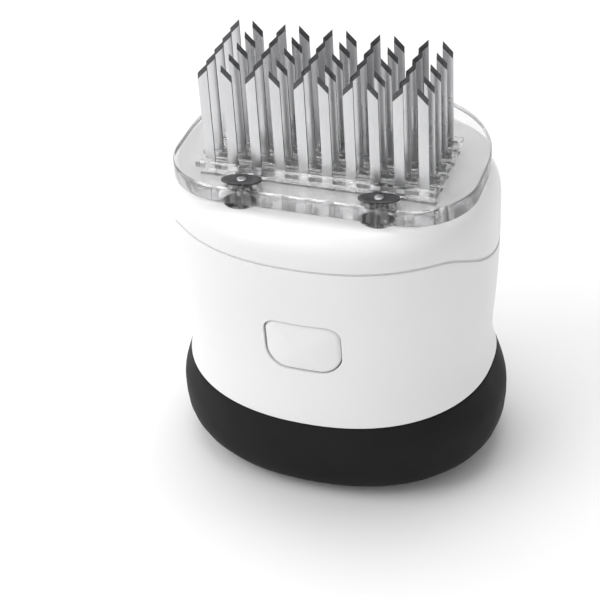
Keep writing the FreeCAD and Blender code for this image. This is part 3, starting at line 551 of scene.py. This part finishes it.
def make_handle_shell():
    """The wall between grip and parting line, open inside, and the button's rim."""
    edge = 0.3
    top = PARTING - PARTING_GAP
    foot = GRIP_EDGE - 4.0
    hidden = GRIP_THICKNESS + SHELL_FIT
    loops = [ring(foot, hidden), ring(GRIP_EDGE, hidden)]
    loops += edge_round(GRIP_EDGE + GRIP_GAP, edge, -1)[::-1]
    loops += between(GRIP_EDGE + GRIP_GAP + edge, top - edge, 26)
    loops += edge_round(top, edge, 1)
    loops += [ring(top, SHELL_WALL), ring(foot, SHELL_WALL + GRIP_THICKNESS)]
    shell = skin("white_shell", loops, True)
    hole = prism_along_y("button_hole", button_outline(BUTTON_GAP + OPENING_LIP), -60.0, -20.0)
    apply_boolean(shell, hole, "DIFFERENCE")
    resmooth(shell, 35.0)
    rim_loops = [surface_loop(button_outline(BUTTON_GAP + OPENING_LIP * (1 - math.sin(turn))),
                              OPENING_LIP * (1 - math.cos(turn)))
                 for turn in quarter_turn(4)]
    rim_loops.append(surface_loop(button_outline(BUTTON_GAP), SHELL_WALL))
    rim_loops.append(surface_loop(button_outline(BUTTON_GAP + OPENING_LIP), SHELL_WALL))
    rim = skin("button_rim", rim_loops, True)
    whole = join("white_lower_shell", [shell, rim])
    dress(whole, WHITE, "handle", "white_plastic", "handle_shell")
    resmooth(whole, 35.0)


def make_button():
    """A crowned cap with soft edges, its rim a little proud of the shell."""
    edge, rim, crown_height = BUTTON_EDGE, 0.12, BUTTON_PROUD + 0.3
    loops = [surface_loop(button_outline(-1.0), BUTTON_DEPTH),
             surface_loop(button_outline(0.0), BUTTON_DEPTH)]
    for turn in quarter_turn(6):
        loops.append(surface_loop(button_outline(-edge * (1 - math.cos(turn))),
                                  edge - rim - edge * math.sin(turn)))
    face = button_outline(-edge)
    centre = np.array([0, BUTTON_MIDDLE])
    for share in (0.9, 0.78, 0.64, 0.48, 0.3, 0.12):
        crown = crown_height * (1 - share ** 2)
        loops.append(surface_loop(centre + (face - centre) * share, -rim - crown))
    dress(skin("push_button", loops), WHITE, "button", "white_plastic", "button_cap")


# The white upper housing: shoulder, deck, wells and slots
WELL_RADIUS = 6.2
WELL_WALL = 1.2
WELL_FLOOR = high_of("guide_bushes").z - 0.8
WELL_FLOOR_THICKNESS = 2.2
BUSH_RADIUS = 4.0
ROW_PITCH = (middle_of("blade_row_5").y - middle_of("blade_row_1").y) / 4
ROW_YS = [GRID_Y + ROW_PITCH * (row - 2) for row in range(5)]
BLADES_PER_ROW = 10
BLADE_WIDTH = 3.1
BLADE_THICKNESS = high_of("blade_row_3").y - low_of("blade_row_3").y
ROW_HALF_LENGTH = high_of("blade_row_3").x
BLADE_PITCH = (2 * ROW_HALF_LENGTH - BLADE_WIDTH) / (BLADES_PER_ROW - 1)


DECK_SLOT_HALF = 0.95
DECK_SLOT_REACH = ROW_HALF_LENGTH + 2.0
CUP_SLOT_LOW = 88.0
LAND_INSET = 0.42
TOOL_REACH = 2.0


def shoulder_heights(top, degrees):
    """Heights between the chest and top, set by angles on the shoulder's round."""
    return [CHEST_HEIGHT + (top - CHEST_HEIGHT) * math.sin(math.radians(d)) for d in degrees]


def deck_slot(y, low):
    """The tool for the slot of the row of blades at y."""
    return rounded_box("slot_tool", (-DECK_SLOT_REACH, y - DECK_SLOT_HALF, low),
                       (DECK_SLOT_REACH, y + DECK_SLOT_HALF, DECK_HEIGHT + TOOL_REACH), 0)


def well_cup(x, y, rim):
    """Wall and floor of a well, with the bush's hole in the floor."""
    floor = WELL_FLOOR - WELL_FLOOR_THICKNESS
    hole = BUSH_RADIUS + 0.05
    outside = WELL_RADIUS + WELL_WALL
    round_in = 0.3
    profile = [(WELL_RADIUS, rim), (WELL_RADIUS, WELL_FLOOR + round_in),
               (WELL_RADIUS - round_in, WELL_FLOOR), (hole, WELL_FLOOR), (hole, floor),
               (outside, floor), (outside, rim)]
    return turned("cup", profile, (x, y), 64, True)


def make_upper_housing():
    """Deck, shoulder and lip as one skin, cut by wells and slots; the wells' cups are added."""
    edge = 0.3
    shoulder = shoulder_heights(DECK_HEIGHT, range(6, 90, 7))
    loops = [ring(DECK_HEIGHT, 0.0, s) for s in (0.1, 0.35, 0.6, 0.8, 0.92, 1.0)]
    loops += [ring(z) for z in reversed(shoulder)]
    loops += [ring(CHEST_HEIGHT)]
    loops += between(PARTING + edge, np.full(COLUMNS, CHEST_HEIGHT), 7)[::-1]
    loops += edge_round(PARTING, edge, -1)[::-1]
    land = PARTING - PARTING_GAP + 0.02
    loops += [ring(PARTING, LAND_INSET), ring(land, LAND_INSET), ring(land, LIP_FACE)]
    loops += [ring(PARTING - LIP_DEPTH, LIP_FACE), ring(PARTING - LIP_DEPTH, HOUSING_WALL)]
    loops += [ring(CHEST_HEIGHT, HOUSING_WALL)]
    inner = DECK_HEIGHT - HOUSING_WALL
    loops += [ring(z, HOUSING_WALL) for z in shoulder_heights(inner, (20, 40, 60, 90))]
    loops += [ring(inner, HOUSING_WALL, s) for s in (0.7, 0.1)]
    housing = skin("white_upper_housing", loops)
    tool_low = inner - TOOL_REACH
    for x, y in POSTS:
        well = [(WELL_RADIUS, tool_low), (WELL_RADIUS, DECK_HEIGHT + 3)]
        apply_boolean(housing, turned("well_tool", well, (x, y), 64), "DIFFERENCE")
    for y in ROW_YS:
        apply_boolean(housing, deck_slot(y, tool_low), "DIFFERENCE")
    cups = join("cups", [well_cup(x, y, inner + 0.5) for x, y in POSTS])
    for y in (ROW_YS[0], ROW_YS[-1]):
        apply_boolean(cups, deck_slot(y, CUP_SLOT_LOW), "DIFFERENCE")
    whole = join("white_upper_shell", [housing, cups])
    resmooth(whole, 32.0)
    dress(whole, WHITE, "handle", "white_plastic", "upper_housing")


# The clear guard plate
PLATE_BOTTOM = DECK_HEIGHT + 0.6
PLATE_HALF_WIDTH = high_of("guard_plate").x
PLATE_FRONT = low_of("guard_plate").y
PLATE_BACK = high_of("guard_plate").y
PLATE_CORNER = 20.3
PLATE_EDGE = 0.8
BAR_HALF_LENGTH = ROW_HALF_LENGTH + 2.8
BAR_HALF_WIDTH = 2.2
PLATE_SLOT_HALF = 0.75
PLATE_SLOT_REACH = ROW_HALF_LENGTH + 1.6
BOSS_RADIUS = 5.2
PLATE_BACK_STEPS = 120
PLATE_CORNER_STEPS = 30
PLATE_SIDE_STEPS = 4
PLATE_FRONT_STEPS = 16
CAP_SCREW_BORE = 0.95


def plate_outline(grow=0.0):
    """Flat front, round corners and an oval back, as points going round once."""
    points = []
    for i in range(PLATE_BACK_STEPS + 1):
        turn = math.pi * i / PLATE_BACK_STEPS
        across, deep = math.cos(turn), abs(math.sin(turn))
        points.append((PLATE_HALF_WIDTH * math.copysign(abs(across) ** ROOT, across),
                       PLATE_BACK * deep ** ROOT))
    corner_y = PLATE_FRONT + PLATE_CORNER
    flat = PLATE_HALF_WIDTH - PLATE_CORNER

    def corner(x, start):
        for i in range(PLATE_CORNER_STEPS + 1):
            turn = start + math.pi / 2 * i / PLATE_CORNER_STEPS
            points.append((x + PLATE_CORNER * math.cos(turn),
                           corner_y + PLATE_CORNER * math.sin(turn)))

    for i in range(1, PLATE_SIDE_STEPS):
        points.append((-PLATE_HALF_WIDTH, corner_y * i / PLATE_SIDE_STEPS))
    corner(-flat, math.pi)
    for i in range(1, PLATE_FRONT_STEPS):
        points.append((-flat + 2 * flat * i / PLATE_FRONT_STEPS, PLATE_FRONT))
    corner(flat, 1.5 * math.pi)
    for i in range(1, PLATE_SIDE_STEPS):
        points.append((PLATE_HALF_WIDTH, corner_y * (PLATE_SIDE_STEPS - i) / PLATE_SIDE_STEPS))
    points = np.array(points)
    ahead = np.roll(points, -1, axis=0) - np.roll(points, 1, axis=0)
    normal = np.stack([ahead[:, 1], -ahead[:, 0]], 1)
    normal /= np.linalg.norm(normal, axis=1)[:, None]
    return points + normal * grow


def flat_capped(name, loops):
    """A solid from loops whose first and last are closed by one flat face each."""
    count = len(loops[0])
    points = [p for loop in loops for p in loop]
    faces = wall_faces(len(loops), count)
    faces.append(tuple(range(count)))
    faces.append(tuple(range((len(loops) - 1) * count, len(loops) * count)))
    return new_object(name, mesh_of(name, points, faces))


def plate_loop(grow, height):
    """The plate's outline as a level loop."""
    outline = plate_outline(grow)
    return np.column_stack([outline, np.full(len(outline), height)])


def make_guard_plate():
    """A plate with rounded edges, its bars and bosses joined on, its slots and bores cut."""
    loops = [plate_loop(-PLATE_EDGE * (1 - math.sin(turn)),
                        PLATE_BOTTOM + PLATE_EDGE * (1 - math.cos(turn)))
             for turn in quarter_turn(5)]
    loops += [plate_loop(-PLATE_EDGE * (1 - math.cos(turn)),
                         PLATE_TOP - PLATE_EDGE * (1 - math.sin(turn)))
              for turn in quarter_turn(5)]
    plate = flat_capped("clear_guard", loops)
    for y in ROW_YS:
        bar = rounded_box("bar", (-BAR_HALF_LENGTH, y - BAR_HALF_WIDTH, PLATE_TOP - 2.0),
                          (BAR_HALF_LENGTH, y + BAR_HALF_WIDTH, BAR_TOP), 0.35, 4)
        apply_boolean(plate, bar, "UNION")
    boss = [(BOSS_RADIUS - 0.5, BOSS_LOW), (BOSS_RADIUS - 0.15, BOSS_LOW + 0.15),
            (BOSS_RADIUS, BOSS_LOW + 0.5), (BOSS_RADIUS, PLATE_BOTTOM + 1.0)]
    for x, y in POSTS:
        apply_boolean(plate, turned("boss", boss, (x, y), 64), "UNION")
    for y in ROW_YS:
        tool = rounded_box("slot", (-PLATE_SLOT_REACH, y - PLATE_SLOT_HALF, PLATE_BOTTOM - 12),
                           (PLATE_SLOT_REACH, y + PLATE_SLOT_HALF, BAR_TOP + 2), 0)
        apply_boolean(plate, tool, "DIFFERENCE")
    rod_top = high_of("guide_rods").z
    rod_bore = ROD_RADIUS + 0.05
    rod_hole = [(rod_bore, BOSS_LOW - 1), (rod_bore, rod_top + 0.05)]
    screw_hole = [(CAP_SCREW_BORE, rod_top - 1), (CAP_SCREW_BORE, PLATE_TOP + 1)]
    for x, y in POSTS:
        apply_boolean(plate, turned("bore", rod_hole, (x, y), 48), "DIFFERENCE")
        apply_boolean(plate, turned("bore", screw_hole, (x, y), 32), "DIFFERENCE")
    resmooth(plate, 30.0)
    dress(plate, CLEAR, "guard", "clear_plastic", "guard_plate")


# Blades
TIP_DROP = 3.3
GRIND = 1.9
EDGE_LAND = 0.08
CORNER_SOFTENING = 0.05


def blade_mesh(form, x, y, side):
    """One blade, high at its right edge if side is 1, with softened corners."""
    half, thick = BLADE_WIDTH / 2, BLADE_THICKNESS / 2
    high, low = BLADE_TIP, BLADE_TIP - TIP_DROP
    left, right = -half * side, half * side
    front_bottom = [(left, -thick, CARRIER_LOW), (right, -thick, CARRIER_LOW)]
    back_bottom = [(left, thick, CARRIER_LOW), (right, thick, CARRIER_LOW)]
    front_top = [(left, -thick, low - GRIND), (right, -thick, high - GRIND)]
    land = thick - EDGE_LAND
    edge_top = [(left, land, low), (right, land, high)]
    back_top = [(left, thick, low), (right, thick, high)]
    points = front_bottom + back_bottom + front_top + edge_top + back_top
    made = [form.verts.new(Vector((x + p[0], y + p[1], p[2])) * MM) for p in points]
    # The sheared edges and ground bevels take the darker steels: painted shade
    strip, sheared, ground = 0, 1, 2
    faces = [((0, 1, 5, 4), strip), ((2, 3, 9, 8), strip), ((0, 1, 3, 2), sheared),
             ((4, 5, 7, 6), ground), ((6, 7, 9, 8), ground), ((0, 2, 8, 6, 4), sheared),
             ((1, 3, 9, 7, 5), sheared)]
    for corners, material in faces:
        face = form.faces.new([made[i] for i in corners])
        face.material_index = material


def make_blade_rows():
    """Five rows of ten blades, their tips slanting to one side and the other in turn."""
    for row, y in enumerate(ROW_YS):
        form = bmesh.new()
        for index in range(BLADES_PER_ROW):
            x = BLADE_PITCH * (index - (BLADES_PER_ROW - 1) / 2)
            blade_mesh(form, x, y, 1 if index % 2 == 0 else -1)
        bmesh.ops.recalc_face_normals(form, faces=form.faces)
        uprights = [e for e in form.edges if abs(e.verts[0].co.z - e.verts[1].co.z) > 0.05]
        bmesh.ops.bevel(form, geom=uprights, offset=CORNER_SOFTENING * MM, segments=2,
                        profile=0.5, affect="EDGES", material=0)
        mesh = bpy.data.meshes.new("blades")
        form.to_mesh(mesh)
        form.free()
        obj = new_object("blades_row_%d" % (row + 1), mesh, 30.0)
        # The second and third steels are painted shade on the edges and bevels
        for material in (STRIP, SHEARED_EDGE_SHADE, GROUND_BEVEL_SHADE):
            mesh.materials.append(material)
        dress(obj, None, "handle", "blade_steel", "blade_row_%d" % (row + 1))


# Discs and screws over the posts
DISC_HALF_LENGTH = 6.25
DISC_HALF_DEPTH = 2.85
DISC_POWER = 1.92
DISC_TURN = 11.0
DISC_HEIGHT = high_of("cap_discs").z - PLATE_TOP
# The lens outline drawn in, and the disc's face there below its top
DISC_FACE = ((0.0, 0.18), (0.05, 0.06), (0.18, 0.0), (1.2, 0.08), (2.2, 0.12))
DISC_UNDERSIDE = 0.1
SCREW_SHANK = 0.9
SCREW_RIM = 0.1
SCREW_HEAD = 1.45
SCREW_HEAD_HEIGHT = high_of("cap_screws").z - high_of("cap_discs").z


def lens_loop(inset, height):
    """A lens outline about the origin, drawn in by a length."""
    steps = 64
    angles = np.arange(steps) * 2 * math.pi / steps
    root = 2 / DISC_POWER
    cosines, sines = np.cos(angles), np.sin(angles)
    across = np.sign(cosines) * np.abs(cosines) ** root * (DISC_HALF_LENGTH - inset)
    deep = np.sign(sines) * np.abs(sines) ** root * (DISC_HALF_DEPTH - inset)
    return np.stack([across, deep, np.full(steps, height)], 1)


def make_disc(name, x, y):
    """A lens-shaped disc, turned a little against the plate, with a bright underside that is
    painted light seen through the plate.
    """
    loops = [lens_loop(0.0, 0.0)]
    loops += [lens_loop(inset, DISC_HEIGHT - below) for inset, below in DISC_FACE]
    disc = skin(name, loops, False, 50.0)
    disc.location = Vector((x, y, PLATE_TOP)) * MM
    disc.rotation_euler.z = math.radians(DISC_TURN)
    dress(disc, DISC, "guard", "turned_steel", "cap_discs")
    mesh = disc.data
    # The underside takes the bright drawn steel: painted light, seen through the clear plate round
    # the dark disc
    mesh.materials.append(DRAWN)
    for face in mesh.polygons:
        if max(mesh.vertices[corner].co.z for corner in face.vertices) < DISC_UNDERSIDE * MM:
            face.material_index = 1


def make_screw(name, x, y):
    """A domed screw through the disc, down to the guide rod."""
    top = PLATE_TOP + DISC_HEIGHT
    profile = [(SCREW_SHANK, high_of("guide_rods").z), (SCREW_SHANK, top - 0.2),
               (SCREW_HEAD, top - SCREW_RIM), (SCREW_HEAD, top + SCREW_RIM)]
    for turn in quarter_turn(6)[1:-1]:
        profile.append((SCREW_HEAD * math.cos(turn),
                        top + SCREW_RIM + (SCREW_HEAD_HEIGHT - SCREW_RIM) * math.sin(turn)))
    screw = turned(name, profile, (x, y), 40)
    dress(screw, SPRING, "guard", "plain_steel", "cap_screws")


def make_caps():
    """A disc and a screw over each post."""
    for i, (x, y) in enumerate(POSTS):
        make_disc("post_disc_%d" % (i + 1), x, y)
        make_screw("post_screw_%d" % (i + 1), x, y)


NODE_MATERIALS = {
    "blade_carrier": GREY, "backing_plate": DRAWN, "housing_screws": DRAWN, "blade_rods": DRAWN,
    "guide_bushes": GREY, "stop_buffers": BLACK, "spring_pins": DRAWN, "guard_springs": SPRING,
    "guide_rods": DRAWN, "front_slider": GREY, "rear_slider": GREY, "rod_nuts": DRAWN,
    "latch_hook": GREY, "latch_screw": DRAWN, "button_spring": SPRING,
}


def dress_nodes():
    """Finish the solids that stay."""
    for name, material in NODE_MATERIALS.items():
        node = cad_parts[name]
        node.data.materials.clear()
        node.data.materials.append(material)


# Camera, floor and light
AZIMUTH = 20.44
ELEVATION = 36.53
ROLL = -3.84
DISTANCE = 527.9
LENS = 108.6
# The aim, from the middle of the blade grid's tips: this far left and this far down in the picture
AIM_LEFT, AIM_DOWN = 7.28, 72.14
LIGHT_AIM = (0, 0, 0.07)
FLOOR_REACH = 3.0


def camera_axes():
    """Right, up and back of the camera, in the object's frame."""
    turn, tilt, roll = (math.radians(angle) for angle in (AZIMUTH, ELEVATION, ROLL))
    back = Vector((math.sin(turn) * math.cos(tilt), -math.cos(turn) * math.cos(tilt),
                   math.sin(tilt)))
    level = Vector((0, 0, 1)).cross(back).normalized()
    upright = back.cross(level)
    right = level * math.cos(roll) + upright * math.sin(roll)
    up = upright * math.cos(roll) - level * math.sin(roll)
    return right, up, back


def make_camera():
    """The scene's camera, fitted to the blade grid."""
    right, up, back = camera_axes()
    target = Vector((0, GRID_Y, BLADE_TIP)) - right * AIM_LEFT - up * AIM_DOWN
    data = bpy.data.cameras.new("camera")
    data.sensor_fit = "HORIZONTAL"
    data.sensor_width = 36.0
    data.lens = LENS
    data.clip_end = 20.0
    camera = bpy.data.objects.new("camera", data)
    turn = Matrix((right, up, back)).transposed()
    camera.matrix_world = Matrix.Translation((target + back * DISTANCE) * MM) @ turn.to_4x4()
    bpy.context.scene.collection.objects.link(camera)
    bpy.context.scene.camera = camera


def area_light(name, place, size, energy):
    """A soft light that points at the object; place and size in metres."""
    data = bpy.data.lights.new(name, "AREA")
    data.shape = "RECTANGLE"
    data.size, data.size_y = size
    data.energy = energy
    light = bpy.data.objects.new(name, data)
    light.location = place
    light.rotation_euler = (Vector(LIGHT_AIM) - Vector(place)).to_track_quat("-Z", "Y").to_euler()
    bpy.context.scene.collection.objects.link(light)


def make_stage():
    """Pale floor, a white world that is brighter on the left, and two soft lights."""
    mesh = bpy.data.meshes.new("floor")
    corners = [(-1, -1), (1, -1), (1, 1), (-1, 1)]
    mesh.from_pydata([(FLOOR_REACH * x, FLOOR_REACH * y, 0) for x, y in corners], [],
                     [(0, 1, 2, 3)])
    floor = bpy.data.objects.new("floor", mesh)
    bpy.context.scene.collection.objects.link(floor)
    floor.location.z = -0.0001
    material, tree, shader = new_material("pale_floor")
    clouds = ramp(tree, object_noise(tree, 3.0), 0, 1)
    tone = mix_colours(tree, clouds, (0.93, 0.93, 0.93), (0.9, 0.9, 0.9))
    tree.links.new(tone, shader.inputs["Base Color"])
    shader.inputs["Roughness"].default_value = 0.7
    mesh.materials.append(material)
    world = bpy.data.worlds.new("studio")
    world.use_nodes = True
    tree = world.node_tree
    direction = add(tree, "ShaderNodeTexCoord")
    parts = add(tree, "ShaderNodeSeparateXYZ")
    tree.links.new(direction.outputs["Generated"], parts.inputs["Vector"])
    background = tree.nodes["Background"]
    strength = ramp(tree, parts.outputs["X"], 0.9, 0.45, -1.0, 1.0)
    tree.links.new(strength, background.inputs["Strength"])
    background.inputs["Color"].default_value = (1, 1, 1, 1)
    bpy.context.scene.world = world
    area_light("key", (-0.6, -0.45, 0.85), (0.7, 0.7), 4.0)
    area_light("top", (-0.1, 0.25, 1.1), (0.8, 0.6), 5.0)
    bpy.context.scene.view_settings.view_transform = "Standard"


make_camera()
make_stage()
make_grip()
make_handle_shell()
make_button()
make_upper_housing()
make_guard_plate()
make_blade_rows()
make_caps()
dress_nodes()
